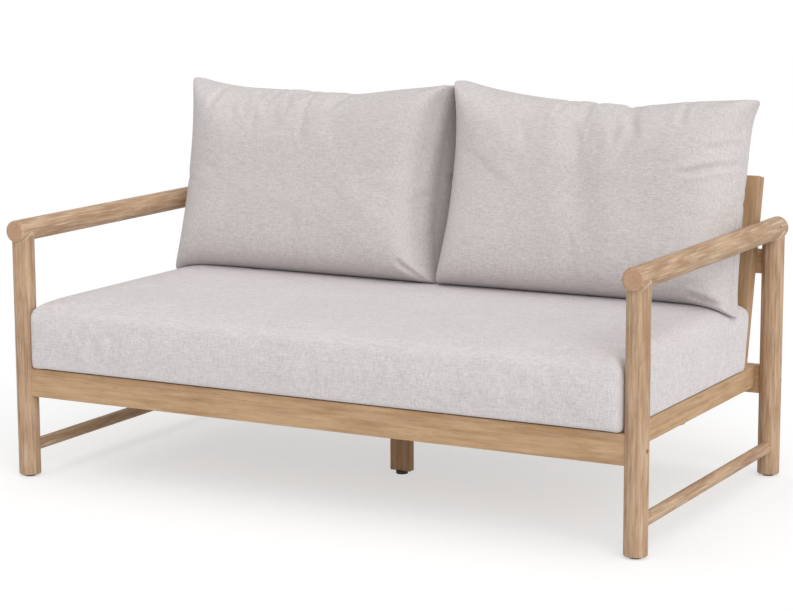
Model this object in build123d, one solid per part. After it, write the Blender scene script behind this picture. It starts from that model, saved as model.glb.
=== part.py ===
from build123d import *
from math import cos, radians, sin, tan
import os

# Patio loveseat in millimetres. The origin is on the floor, midway between the four legs.
# X runs to the right as seen from the front, the front faces minus Y and Z is up.

# Legs, arms and stretchers, turned from round stock
leg_spacing_x = 1500
leg_spacing_y = 782
pole_diameter = 50
arm_axis_height = 568
arm_overhang = 32
arm_end_radius = 6
leg_foot_chamfer = 2
stretcher_diameter = 28
stretcher_axis_height = 68

# Plastic glides under the legs
leg_glide_height = 5
centre_glide_height = 8
glide_diameter = 28
glide_pin_diameter = 6
glide_pin_length = 18

# Boards of the seat frame
board_thickness = 20
board_edge_radius = 2
rail_face_offset = 14
seat_rail_top = 254
main_rail_height = 65
side_rail_height = 50
side_rail_inset = 33.6
upper_rail_below_arm = 103
upper_rail_height = 54
ledger_height = 30
bearer_height = 50
bearer_front_offset = 12
centre_leg_width = 52
seat_slat_count = 11
seat_slat_width = 65
seat_slat_thickness = 14
slat_side_clearance = 0.5

# Reclined back, measured up the posts from the seat frame and forward from the posts' front faces
recline_degrees = 11.67
post_foot_y = 300
post_top_above_arm = 118
post_width = 45
post_thickness = 35
post_inset_from_side_rail = 2.4
back_rail_setback = 9
back_rail_width = 60
back_top_rail_drop = 8
back_lower_rail_height = 105
back_slats_per_side = 4
back_slat_width = 56
back_slat_thickness = 12
tenon_length = 10

# Bolts, barrel nuts, dowels and screws
bolt_diameter = 6
bolt_head_diameter = 10
bolt_head_height = 6
bolt_head_recess = 12
bolt_length = 80
hex_socket_width = 5
hex_socket_depth = 3
hex_socket_sides = 6
nut_diameter = 10
nut_length = 14
nut_distance_from_leg = 30
dowel_diameter = 8
dowel_length = 40
rail_dowel_length = 26
rail_dowel_spread = 19
side_dowel_spread = 16
bearer_dowel_spread = 9
post_dowel_spread = 8.5
arm_dowel_diameter = 12
arm_dowel_length = 44
screw_diameter = 4
screw_head_diameter = 8
screw_head_height = 3
slat_screw_length = 30
frame_screw_length = 35
ledger_screw_count = 4
post_screw_spread = 14
centre_leg_screw_spread = 14

# Fits
joint_clearance = 0.05
bore_clearance = 0.1
cushion_gap = 0.4

# Seat cushion: a foam block in a fabric cover, with a crowned top and rounded edges
seat_cushion_side_gap = 2
seat_cushion_front_overhang = 7
seat_cushion_edge_height = 144
seat_cushion_crown = 13
seat_cushion_edge_radius = 24
seat_cushion_corner_radius = 30
seat_cushion_side_bow = 1.2
seat_crown_top_inset = 225
seat_cushion_edge_steps = 3
seat_crown_steps = 4

# Back cushions: fibre filling in a cover of two panels, with pointed corners and drawn-in sides
back_cushion_side_gap = 3
back_cushion_height = 470
back_cushion_thickness = 236
back_cushion_seam_forward = 110
back_cushion_bottom = 135
back_cushion_middle_gap = 2
back_cushion_side_draw = 12
back_cushion_top_draw = 26
back_cushion_tip_radius = 7
back_cushion_face_bow = 6
back_cushion_shoulder_share = 0.32
back_cushion_face_corner_share = 0.367
back_cushion_steps = 5
cover_thickness = 3
cover_fill_gap = 0.6

# Values worked out from the above
half_x = leg_spacing_x / 2
half_y = leg_spacing_y / 2
pole_radius = pole_diameter / 2
leg_inner_x = half_x - pole_radius
arm_half_length = half_y + arm_overhang
rail_outer_y = half_y + rail_face_offset
rail_inner_y = rail_outer_y - board_thickness
rail_middle_y = (rail_outer_y + rail_inner_y) / 2
main_rail_bottom = seat_rail_top - main_rail_height
main_rail_middle = seat_rail_top - main_rail_height / 2
upper_rail_bottom = arm_axis_height - upper_rail_below_arm
upper_rail_top = upper_rail_bottom + upper_rail_height
upper_rail_middle = upper_rail_bottom + upper_rail_height / 2
side_rail_outer_x = half_x - side_rail_inset
side_rail_inner_x = side_rail_outer_x - board_thickness
side_rail_middle_x = (side_rail_outer_x + side_rail_inner_x) / 2
side_rail_middle_z = seat_rail_top - side_rail_height / 2
seat_slat_bottom = seat_rail_top - seat_slat_thickness
bearer_front_y = -bearer_front_offset
bearer_back_y = bearer_front_y + board_thickness
bearer_middle_y = (bearer_front_y + bearer_back_y) / 2
bearer_middle_z = seat_slat_bottom - bearer_height / 2
bearer_dowel_z = (seat_rail_top - side_rail_height + seat_slat_bottom) / 2
ledger_inner_y = rail_inner_y - board_thickness
ledger_middle_y = (rail_inner_y + ledger_inner_y) / 2
ledger_middle_z = seat_slat_bottom - ledger_height / 2
post_outer_x = side_rail_outer_x - post_inset_from_side_rail
post_inner_x = post_outer_x - post_width
lean = tan(radians(recline_degrees))
quarter_turn = radians(90)
post_rise = arm_axis_height + post_top_above_arm - seat_rail_top
post_length = post_rise / cos(radians(recline_degrees))
back_top_rail_top = post_length - back_top_rail_drop
back_top_rail_bottom = back_top_rail_top - back_rail_width
back_lower_rail_top = back_lower_rail_height + back_rail_width
seat_cushion_half_width = leg_inner_x - seat_cushion_side_gap
seat_cushion_front_y = -rail_outer_y - seat_cushion_front_overhang
seat_cushion_height = seat_cushion_edge_height + seat_cushion_crown
back_cushion_width = leg_inner_x - back_cushion_side_gap - back_cushion_middle_gap / 2
back_cushion_middle_x = (back_cushion_width + back_cushion_middle_gap) / 2
back_cushion_middle_height = back_cushion_bottom + back_cushion_height / 2
back_cushion_shoulder = back_cushion_height * back_cushion_shoulder_share
back_cushion_face_height = back_cushion_height - 2 * back_cushion_shoulder
back_cushion_face_corner = back_cushion_face_height * back_cushion_face_corner_share

# The back's own frame: X across, Y up the posts, Z forward out of their front faces
back_plane = Plane(
    origin=(0, post_foot_y, seat_rail_top),
    x_dir=(1, 0, 0),
    z_dir=(0, -cos(radians(recline_degrees)), sin(radians(recline_degrees))),
)


def save(shape, name):
    """Write one sub-part to its own file."""
    export_step(shape, "parts/" + name + ".step")


def board(x_faces, y_faces, z_faces):
    """Board between three pairs of faces, with eased edges."""
    sizes = [faces[1] - faces[0] for faces in (x_faces, y_faces, z_faces)]
    middles = [(faces[0] + faces[1]) / 2 for faces in (x_faces, y_faces, z_faces)]
    return Pos(*middles) * fillet(Box(*sizes).edges(), board_edge_radius)


def plain_box(x_faces, y_faces, z_faces):
    """Sharp-edged block between three pairs of faces, used for cuts."""
    sizes = [faces[1] - faces[0] for faces in (x_faces, y_faces, z_faces)]
    middles = [(faces[0] + faces[1]) / 2 for faces in (x_faces, y_faces, z_faces)]
    return Pos(*middles) * Box(*sizes)


def rod_x(x_ends, y, z, radius):
    """Round rod along X between two ends."""
    return Pos(sum(x_ends) / 2, y, z) * Rot(0, 90, 0) * Cylinder(radius, abs(x_ends[1] - x_ends[0]))


def rod_y(x, y_ends, z, radius):
    """Round rod along Y between two ends."""
    return Pos(x, sum(y_ends) / 2, z) * Rot(90, 0, 0) * Cylinder(radius, abs(y_ends[1] - y_ends[0]))


def rod_z(x, y, z_ends, radius):
    """Round rod along Z between two ends."""
    return Pos(x, y, sum(z_ends) / 2) * Cylinder(radius, abs(z_ends[1] - z_ends[0]))


def cut_all(piece, cutters):
    """Take every cutter out of a piece."""
    for cutter in cutters:
        piece = piece - cutter
    return piece


def mirrored_pair(distance):
    """The same distance on the left and on the right."""
    return (-distance, distance)


# Fasteners, and the holes that take them

# Each rail end has one bolt: the front rail, the rear rail and the upper rear rail
bolt_lines = [
    (-rail_middle_y, main_rail_middle),
    (rail_middle_y, main_rail_middle),
    (rail_middle_y, upper_rail_middle),
]
bolt_seat_x = half_x + pole_radius - bolt_head_recess
nut_x = leg_inner_x - nut_distance_from_leg


def rail_bolt(side, y, z):
    """Socket-head bolt through a leg into the end of a rail."""
    shank = rod_x((side * bolt_seat_x, side * (bolt_seat_x - bolt_length)), y, z, bolt_diameter / 2)
    head_end = bolt_seat_x + bolt_head_height
    head = rod_x((side * bolt_seat_x, side * head_end), y, z, bolt_head_diameter / 2)
    socket_floor = head_end - hex_socket_depth
    hexagon = RegularPolygon(hex_socket_width / 2, hex_socket_sides, major_radius=False)
    socket_shape = extrude(hexagon, hex_socket_depth)
    socket = Pos(side * socket_floor, y, z) * Rot(0, side * 90, 0) * socket_shape
    return shank + head - socket


def rail_bolt_hole(side, y, z):
    """Stepped bore for a rail bolt, through the leg and into the rail."""
    bore_end = bolt_seat_x - bolt_length - bolt_diameter
    bore_radius = bolt_diameter / 2 + bore_clearance
    bore = rod_x((side * bolt_seat_x, side * bore_end), y, z, bore_radius)
    outside = half_x + pole_diameter
    head_radius = bolt_head_diameter / 2 + bore_clearance
    return bore + rod_x((side * bolt_seat_x, side * outside), y, z, head_radius)


def barrel_nut(side, y, z):
    """Cross nut that lies in the rail and takes the bolt."""
    nut = rod_y(side * nut_x, (y - nut_length / 2, y + nut_length / 2), z, nut_diameter / 2)
    return nut - rail_bolt_hole(side, y, z)


def barrel_nut_hole(side, y, z):
    """Cross bore for the nut, open towards the seat."""
    inner_face = y - board_thickness if y > 0 else y + board_thickness
    closed_end = y + nut_length / 2 if y > 0 else y - nut_length / 2
    return rod_y(side * nut_x, (closed_end, inner_face), z, nut_diameter / 2 + joint_clearance)


def rail_dowel(side, y, z, growth=0):
    """Dowel between a leg and the end of a rail; growth widens it into its own hole."""
    half_length = rail_dowel_length / 2 + growth
    ends = (side * (leg_inner_x - half_length), side * (leg_inner_x + half_length))
    return rod_x(ends, y, z, dowel_diameter / 2 + growth)


def arm_dowel(side, end, growth=0):
    """Upright dowel between a leg and the arm rail that it carries."""
    joint_height = arm_axis_height - pole_radius
    half_length = arm_dowel_length / 2 + growth
    heights = (joint_height - half_length, joint_height + half_length)
    return rod_z(side * half_x, end * half_y, heights, arm_dowel_diameter / 2 + growth)


def stretcher_dowel(side, end, growth=0):
    """Dowel between a leg and the end of a low stretcher."""
    joint_y = half_y - pole_radius
    half_length = dowel_length / 2 + growth
    ends = (end * (joint_y - half_length), end * (joint_y + half_length))
    return rod_y(side * half_x, ends, stretcher_axis_height, dowel_diameter / 2 + growth)


def side_rail_dowels(growth=0):
    """Dowels between the side rails and the front and rear rails."""
    half_length = dowel_length / 2 + growth
    found = []
    for x in mirrored_pair(side_rail_middle_x):
        for end in (-1, 1):
            start = end * (rail_inner_y - half_length)
            stop = end * (min(rail_inner_y + half_length, rail_outer_y - board_edge_radius) + growth)
            for rise in mirrored_pair(side_dowel_spread):
                z = side_rail_middle_z + rise
                found.append(rod_y(x, (start, stop), z, dowel_diameter / 2 + growth))
    return found


def bearer_dowels(growth=0):
    """Dowels between the centre bearer and the side rails."""
    inner_end = side_rail_inner_x - dowel_length / 2 - growth
    outer_end = side_rail_outer_x - board_edge_radius + growth
    found = []
    for side in (-1, 1):
        for rise in mirrored_pair(bearer_dowel_spread):
            z = bearer_dowel_z + rise
            ends = (side * inner_end, side * outer_end)
            found.append(rod_x(ends, bearer_middle_y, z, dowel_diameter / 2 + growth))
    return found


def post_dowels(growth=0):
    """Upright dowels between the side rails and the outer back posts."""
    half_length = dowel_length / 2 + growth
    heights = (seat_rail_top - half_length, seat_rail_top + half_length)
    middle = post_foot_y + (lean * dowel_length / 2 + post_thickness) / 2
    found = []
    for x in mirrored_pair(side_rail_middle_x):
        for shift in mirrored_pair(post_dowel_spread):
            found.append(rod_z(x, middle + shift, heights, dowel_diameter / 2 + growth))
    return found


def screw(length, growth=0):
    """Countersunk wood screw with its head's top at the origin, pointing down."""
    radius = screw_diameter / 2 + growth
    head_radius = screw_head_diameter / 2 + growth
    shank = Pos(0, 0, -length / 2) * Cylinder(radius, length)
    head = Pos(0, 0, -screw_head_height / 2) * Cone(radius, head_radius, screw_head_height)
    return shank + head


seat_slat_gap = (2 * side_rail_inner_x - seat_slat_count * seat_slat_width) / (seat_slat_count + 1)


def seat_slat_middle(number):
    """Middle of a seat slat, counted from the left."""
    first = -side_rail_inner_x + seat_slat_gap + seat_slat_width / 2
    return first + number * (seat_slat_width + seat_slat_gap)


def screws_of_slat(number, growth=0):
    """Screws through one seat slat: into the front ledger, the bearer and the rear ledger."""
    x = seat_slat_middle(number)
    screw_lines = (-ledger_middle_y, bearer_middle_y, ledger_middle_y)
    return [Pos(x, y, seat_rail_top) * screw(slat_screw_length, growth) for y in screw_lines]


def slat_screws(growth=0):
    """The screws of all the seat slats."""
    found = []
    for number in range(seat_slat_count):
        found.extend(screws_of_slat(number, growth))
    return found


def ledger_screws(growth=0):
    """Screws through the ledgers into the front and rear rails."""
    found = []
    spacing = 2 * side_rail_inner_x / ledger_screw_count
    for number in range(ledger_screw_count):
        x = -side_rail_inner_x + (number + 1 / 2) * spacing
        front_place = Pos(x, -ledger_inner_y, ledger_middle_z) * Rot(90, 0, 0)
        rear_place = Pos(x, ledger_inner_y, ledger_middle_z) * Rot(-90, 0, 0)
        found.append(front_place * screw(frame_screw_length, growth))
        found.append(rear_place * screw(frame_screw_length, growth))
    return found


def post_screws(growth=0):
    """Screws from behind, through the upper rear rail into the back posts."""
    outer = (post_outer_x + post_inner_x) / 2
    found = []
    for x in (-outer, 0, outer):
        for rise in mirrored_pair(post_screw_spread):
            place = Pos(x, rail_outer_y, upper_rail_middle + rise) * Rot(-90, 0, 0)
            found.append(place * screw(frame_screw_length, growth))
    return found


def centre_leg_screws(growth=0):
    """Screws from behind, through the centre leg into the bearer."""
    found = []
    for x in mirrored_pair(centre_leg_screw_spread):
        for rise in mirrored_pair(centre_leg_screw_spread):
            place = Pos(x, bearer_back_y + board_thickness, bearer_middle_z + rise) * Rot(-90, 0, 0)
            found.append(place * screw(frame_screw_length, growth))
    return found


# Legs, arm rails and stretchers


def leg(side, end):
    """Round leg, coped at the top to carry the arm rail."""
    x = side * half_x
    y = end * half_y
    body = rod_z(x, y, (leg_glide_height, arm_axis_height), pole_radius)
    body = chamfer(body.edges().group_by(Axis.Z)[0], leg_foot_chamfer)
    arm_seat = rod_y(x, (y - pole_diameter, y + pole_diameter), arm_axis_height, pole_radius + joint_clearance)
    pin_radius = glide_pin_diameter / 2 + joint_clearance
    pin_top = leg_glide_height + glide_pin_length + joint_clearance
    cutters = [
        arm_seat,
        arm_dowel(side, end, joint_clearance),
        stretcher_dowel(side, end, joint_clearance),
        rod_z(x, y, (leg_glide_height, pin_top), pin_radius),
    ]
    for bolt_y, bolt_z in bolt_lines:
        if bolt_y * end > 0:
            cutters.append(rail_bolt_hole(side, bolt_y, bolt_z))
            cutters.append(rail_dowel(side, bolt_y, bolt_z - rail_dowel_spread, joint_clearance))
            cutters.append(rail_dowel(side, bolt_y, bolt_z + rail_dowel_spread, joint_clearance))
    return cut_all(body, cutters)


def arm_rail(side):
    """Round arm rail with softened ends, on top of the front and rear legs."""
    body = rod_y(side * half_x, (-arm_half_length, arm_half_length), arm_axis_height, pole_radius)
    body = fillet(body.edges().filter_by(GeomType.CIRCLE), arm_end_radius)
    return cut_all(body, [arm_dowel(side, end, joint_clearance) for end in (-1, 1)])


def stretcher(side):
    """Low round stretcher, coped to both legs of one side."""
    body = rod_y(side * half_x, (-half_y, half_y), stretcher_axis_height, stretcher_diameter / 2)
    cutters = []
    for end in (-1, 1):
        reach = (0, 2 * stretcher_axis_height)
        cutters.append(rod_z(side * half_x, end * half_y, reach, pole_radius + joint_clearance))
        cutters.append(stretcher_dowel(side, end, joint_clearance))
    return cut_all(body, cutters)


sides = {"left": -1, "right": 1}
ends = {"front": -1, "rear": 1}

for side_name, side in sides.items():
    for end_name, end in ends.items():
        save(leg(side, end), end_name + "_" + side_name + "_leg")
    save(arm_rail(side), side_name + "_arm_rail")
    save(stretcher(side), side_name + "_stretcher")


# Glides


def glide(x, y, height):
    """Round plastic glide with a pin that is driven into the leg."""
    disc = rod_z(x, y, (0, height), glide_diameter / 2)
    disc = fillet(disc.edges().group_by(Axis.Z)[0], board_edge_radius)
    return disc + rod_z(x, y, (0, height + glide_pin_length), glide_pin_diameter / 2)


leg_places = [(side * half_x, end * half_y) for side in (-1, 1) for end in (-1, 1)]
centre_leg_y = bearer_back_y + board_thickness / 2
save(Compound([glide(x, y, leg_glide_height) for x, y in leg_places]), "leg_glides")
save(glide(0, centre_leg_y, centre_glide_height), "centre_leg_glide")


# Rails between the legs


def cross_rail(y_faces, z_faces):
    """Rail between two legs, coped to them and bored for its bolts, nuts and dowels."""
    body = board((-half_x, half_x), y_faces, z_faces)
    y = sum(y_faces) / 2
    z = sum(z_faces) / 2
    cutters = []
    for side in (-1, 1):
        leg_y = half_y if y > 0 else -half_y
        leg_space = rod_z(side * half_x, leg_y, (0, arm_axis_height), pole_radius + joint_clearance)
        cutters.append(leg_space)
        cutters.append(rail_bolt_hole(side, y, z))
        cutters.append(barrel_nut_hole(side, y, z))
        cutters.append(rail_dowel(side, y, z - rail_dowel_spread, joint_clearance))
        cutters.append(rail_dowel(side, y, z + rail_dowel_spread, joint_clearance))
    trimmed = cut_all(body, cutters)
    return max(trimmed.solids(), key=lambda solid: solid.volume)


main_rail_heights = (main_rail_bottom, seat_rail_top)
seat_frame_holes = side_rail_dowels(joint_clearance) + ledger_screws(bore_clearance)
front_rail = cross_rail((-rail_outer_y, -rail_inner_y), main_rail_heights)
rear_rail = cross_rail((rail_inner_y, rail_outer_y), main_rail_heights)
upper_rear_rail = cross_rail((rail_inner_y, rail_outer_y), (upper_rail_bottom, upper_rail_top))
save(cut_all(front_rail, seat_frame_holes), "front_rail")
save(cut_all(rear_rail, seat_frame_holes), "rear_rail")
save(cut_all(upper_rear_rail, post_screws(bore_clearance)), "upper_rear_rail")

fasteners = [(side, y, z) for side in (-1, 1) for y, z in bolt_lines]
rail_dowels = [
    rail_dowel(side, y, z + rise)
    for side, y, z in fasteners
    for rise in mirrored_pair(rail_dowel_spread)
]
save(Compound([rail_bolt(*place) for place in fasteners]), "rail_bolts")
save(Compound([barrel_nut(*place) for place in fasteners]), "barrel_nuts")
save(Compound(rail_dowels), "rail_dowels")
save(Compound([arm_dowel(side, end) for side in (-1, 1) for end in (-1, 1)]), "arm_dowels")
save(Compound([stretcher_dowel(side, end) for side in (-1, 1) for end in (-1, 1)]), "stretcher_dowels")


# Seat frame inside the front and rear rails

side_rail_heights = (seat_rail_top - side_rail_height, seat_rail_top)
side_rail_holes = side_rail_dowels(joint_clearance) + bearer_dowels(joint_clearance)
side_rail_holes = side_rail_holes + post_dowels(joint_clearance)
for side_name, side in sides.items():
    x_faces = sorted((side * side_rail_inner_x, side * side_rail_outer_x))
    side_rail = board(x_faces, (-rail_inner_y, rail_inner_y), side_rail_heights)
    save(cut_all(side_rail, side_rail_holes), side_name + "_side_rail")

bearer_faces = (bearer_front_y, bearer_back_y)
bearer_heights = (seat_slat_bottom - bearer_height, seat_slat_bottom)
bearer = board(mirrored_pair(side_rail_inner_x), bearer_faces, bearer_heights)
bearer_holes = bearer_dowels(joint_clearance) + slat_screws(bore_clearance) + centre_leg_screws(bore_clearance)
save(cut_all(bearer, bearer_holes), "centre_bearer")

centre_leg_faces = (bearer_back_y, bearer_back_y + board_thickness)
centre_leg = board(mirrored_pair(centre_leg_width / 2), centre_leg_faces, (centre_glide_height, seat_slat_bottom))
centre_pin_ends = (centre_glide_height, centre_glide_height + glide_pin_length + joint_clearance)
centre_pin_hole = rod_z(0, centre_leg_y, centre_pin_ends, glide_pin_diameter / 2 + joint_clearance)
save(cut_all(centre_leg, centre_leg_screws(bore_clearance) + [centre_pin_hole]), "centre_leg")

ledger_heights = (seat_slat_bottom - ledger_height, seat_slat_bottom)
ledger_holes = ledger_screws(bore_clearance) + slat_screws(bore_clearance)
for end_name, end in ends.items():
    y_faces = sorted((end * ledger_inner_y, end * rail_inner_y))
    ledger = board(mirrored_pair(side_rail_inner_x), y_faces, ledger_heights)
    save(cut_all(ledger, ledger_holes), end_name + "_slat_ledger")

for number in range(seat_slat_count):
    middle = seat_slat_middle(number)
    x_faces = (middle - seat_slat_width / 2, middle + seat_slat_width / 2)
    half_length = rail_inner_y - slat_side_clearance
    slat = board(x_faces, mirrored_pair(half_length), (seat_slat_bottom, seat_rail_top))
    slat = cut_all(slat, screws_of_slat(number, bore_clearance))
    save(slat, "seat_slat_" + str(number + 1).zfill(2))

save(Compound(side_rail_dowels() + bearer_dowels() + post_dowels()), "seat_frame_dowels")
save(Compound(slat_screws()), "slat_screws")
save(Compound(ledger_screws() + post_screws() + centre_leg_screws()), "frame_screws")


# Reclined back: three posts, rails between them and upright slats

back_rail_faces = (-back_rail_setback - board_thickness, -back_rail_setback)
slat_middle_depth = sum(back_rail_faces) / 2
back_slat_faces = (slat_middle_depth - back_slat_thickness / 2, slat_middle_depth + back_slat_thickness / 2)
back_rail_heights = {
    "top": (back_top_rail_bottom, back_top_rail_top),
    "lower": (back_lower_rail_height, back_lower_rail_top),
}
post_half_width = post_width / 2
bay_ends = {
    "left": (-post_inner_x, -post_half_width),
    "right": (post_half_width, post_inner_x),
}


def grown(faces, amount):
    """A pair of faces moved apart by the same amount."""
    return (faces[0] - amount, faces[1] + amount)


def back_rail(bay, level, growth=0):
    """Rail of the back between two posts, with both ends let into them."""
    reach = grown(bay_ends[bay], tenon_length + growth)
    heights = grown(back_rail_heights[level], growth)
    depths = grown(back_rail_faces, growth)
    maker = plain_box if growth else board
    return back_plane.location * maker(reach, heights, depths)


def back_slat(bay, number, growth=0):
    """Upright slat of the back, let into the rails above and below."""
    left, right = bay_ends[bay]
    pitch = (right - left) / back_slats_per_side
    middle = left + (number + 1 / 2) * pitch
    x_faces = grown((middle - back_slat_width / 2, middle + back_slat_width / 2), growth)
    heights = (back_lower_rail_top - tenon_length - growth, back_top_rail_bottom + tenon_length + growth)
    maker = plain_box if growth else board
    return back_plane.location * maker(x_faces, heights, grown(back_slat_faces, growth))


def back_post(x_middle):
    """Post standing on the seat frame and housed over the upper rear rail."""
    x_faces = (x_middle - post_half_width, x_middle + post_half_width)
    body = back_plane.location * board(x_faces, (-post_thickness, post_length), (-post_thickness, 0))
    x_reach = grown(x_faces, post_width)
    below_seat = plain_box(x_reach, (0, leg_spacing_y), (0, seat_rail_top))
    rail_housing = plain_box(x_reach, (rail_inner_y, leg_spacing_y), (upper_rail_bottom, upper_rail_top))
    cutters = [below_seat, rail_housing] + post_dowels(joint_clearance) + post_screws(bore_clearance)
    for bay in bay_ends:
        for level in back_rail_heights:
            cutters.append(back_rail(bay, level, joint_clearance))
    return cut_all(body, cutters)


outer_post_middle = post_outer_x - post_half_width
save(back_post(-outer_post_middle), "left_back_post")
save(back_post(0), "centre_back_post")
save(back_post(outer_post_middle), "right_back_post")

for bay in bay_ends:
    slat_holes = [back_slat(bay, number, joint_clearance) for number in range(back_slats_per_side)]
    for level in back_rail_heights:
        save(cut_all(back_rail(bay, level), slat_holes), bay + "_back_" + level + "_rail")
    for number in range(back_slats_per_side):
        save(back_slat(bay, number), bay + "_back_slat_" + str(number + 1))


# Cushions


def soft_outline(width, depth, corner, bow, top_bow):
    """Closed outline with arc corners and sides that bow out, or in where a bow is negative."""
    half_w = width / 2
    half_d = depth / 2
    straight_w = half_w - corner
    straight_d = half_d - corner
    near = corner * (1 - cos(quarter_turn / 2))
    runs = [
        [(-straight_w, -half_d), (0, -half_d - bow), (straight_w, -half_d)],
        [(straight_w, -half_d), (half_w - near, -half_d + near), (half_w, -straight_d)],
        [(half_w, -straight_d), (half_w + bow, 0), (half_w, straight_d)],
        [(half_w, straight_d), (half_w - near, half_d - near), (straight_w, half_d)],
        [(straight_w, half_d), (0, half_d + top_bow), (-straight_w, half_d)],
        [(-straight_w, half_d), (-half_w + near, half_d - near), (-half_w, straight_d)],
        [(-half_w, straight_d), (-half_w - bow, 0), (-half_w, -straight_d)],
        [(-half_w, -straight_d), (-half_w + near, -half_d + near), (-straight_w, -half_d)],
    ]
    return make_face([ThreePointArc(*run) for run in runs])


def post_front_y(z):
    """Where the posts' front faces stand at a given height."""
    return post_foot_y + (z - seat_rail_top) * lean


def seat_cushion_levels():
    """Heights and insets that round the lower edge, then the upper edge, then rise to the crown."""
    radius = seat_cushion_edge_radius
    steps = seat_cushion_edge_steps
    turns = [quarter_turn * step / steps for step in range(steps + 1)]
    lower = [(radius * (1 - cos(turn)), radius * (1 - sin(turn))) for turn in turns]
    upper = [(seat_cushion_edge_height - height, inset) for height, inset in reversed(lower)]
    crown = []
    for step in range(1, seat_crown_steps + 1):
        share = step / seat_crown_steps
        height = seat_cushion_edge_height + seat_cushion_crown * sin(share * quarter_turn)
        crown.append((height, radius + share * (seat_crown_top_inset - radius)))
    return lower + upper + crown


def seat_cushion_form(shrink):
    """Seat cushion's outer form, or the same form drawn in evenly by shrink."""
    middle = seat_cushion_height / 2
    squeeze = 1 - 2 * shrink / seat_cushion_height
    back_clearance = cushion_gap + seat_cushion_side_bow
    sections = []
    for height, level_inset in seat_cushion_levels():
        z = seat_rail_top + cushion_gap + middle + (height - middle) * squeeze
        inset = level_inset + shrink
        front = seat_cushion_front_y + inset
        back = post_front_y(min(z, seat_rail_top + seat_cushion_edge_height)) - back_clearance - inset
        width = 2 * (seat_cushion_half_width - inset)
        bow = seat_cushion_side_bow
        outline = soft_outline(width, back - front, seat_cushion_corner_radius, bow, bow)
        sections.append(Pos(0, (front + back) / 2, z) * outline)
    return loft(sections, ruled=True)


def back_cushion_form(x_middle, shrink):
    """Back cushion's outer form: two crowned panels that meet at the seam."""
    half_thickness = back_cushion_thickness / 2 - shrink
    tip = back_cushion_tip_radius
    sections = []
    for step in range(back_cushion_steps + 1):
        turn = quarter_turn * step / back_cushion_steps
        inset = shrink + back_cushion_shoulder * (1 - cos(turn))
        closeness = sin(turn)
        corner = tip + (back_cushion_face_corner - tip) * closeness
        bow = back_cushion_face_bow * closeness - back_cushion_side_draw * (1 - closeness)
        top_bow = back_cushion_face_bow * closeness - back_cushion_top_draw * (1 - closeness)
        width = back_cushion_width - 2 * inset
        height = back_cushion_height - 2 * inset
        outline = soft_outline(width, height, corner, bow, top_bow)
        sections.append(Pos(0, 0, half_thickness * closeness) * outline)
    front_panel = loft(sections)
    whole = front_panel + mirror(front_panel, about=Plane.XY)
    place = Pos(x_middle, back_cushion_middle_height, back_cushion_seam_forward)
    return back_plane.location * place * whole


def save_cushion(form, name, filling_name):
    """Write a cushion as its cover and the filling inside."""
    save(form(0) - form(cover_thickness), name + "_cover")
    save(form(cover_thickness + cover_fill_gap), name + "_" + filling_name)


save_cushion(seat_cushion_form, "seat_cushion", "foam")
for side_name, side in sides.items():
    save_cushion(
        lambda shrink: back_cushion_form(side * back_cushion_middle_x, shrink),
        side_name + "_back_cushion",
        "filling",
    )
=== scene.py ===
import math

import bpy
import numpy as np
from mathutils import Matrix, Vector
from mathutils.bvhtree import BVHTree


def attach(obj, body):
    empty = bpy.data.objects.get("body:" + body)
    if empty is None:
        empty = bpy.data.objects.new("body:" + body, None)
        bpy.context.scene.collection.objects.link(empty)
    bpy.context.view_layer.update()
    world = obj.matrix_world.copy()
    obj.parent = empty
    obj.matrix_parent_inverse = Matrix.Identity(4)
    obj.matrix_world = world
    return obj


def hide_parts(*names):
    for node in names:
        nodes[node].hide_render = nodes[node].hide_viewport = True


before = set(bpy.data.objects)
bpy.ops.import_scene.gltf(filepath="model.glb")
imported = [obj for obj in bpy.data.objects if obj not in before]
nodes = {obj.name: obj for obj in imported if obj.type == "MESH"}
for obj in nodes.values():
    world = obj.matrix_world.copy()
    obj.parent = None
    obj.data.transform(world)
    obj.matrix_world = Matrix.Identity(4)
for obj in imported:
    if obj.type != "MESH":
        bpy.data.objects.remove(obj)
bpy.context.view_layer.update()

# Patio loveseat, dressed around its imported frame. Lengths are in metres. X runs to the right as
# seen from the front, the front faces minus Y, and Z is up.

# Places and sizes of the frame that the finishes and cushions follow
leg_x = 0.75
pole_radius = 0.025
arm_height = 0.568
arm_knot = (0.772, 0.369, 0.576)
seat_height = 0.254
post_foot_y = 0.300
recline = math.radians(11.67)
lean = math.tan(recline)
back_rail_forward = -0.009

# Seat cushion
seat_half_width = 0.7235
seat_front_y = -0.4135
seat_front_bulge = 0.006
seat_bulge_roundness = 0.7
seat_bulge_flatness = 24
seat_edge_height = 0.144
seat_crown = 0.016
seat_crown_run_across = 0.055
seat_crown_run_deep = 0.150
seat_top_edge_radius = 0.026
seat_lower_edge_radius = 0.0045
seat_corner_radius = 0.010
seat_least_corner_radius = 0.0001
seat_mesh_step = 0.008
seat_swell_reach = 0.002
seat_undersize = 0.96
seat_cloth_growth = 0.015
seat_cloth_stiffness = 0.5
seat_side_give = 0.0008
seat_rest_gap = 0.0005

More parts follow.
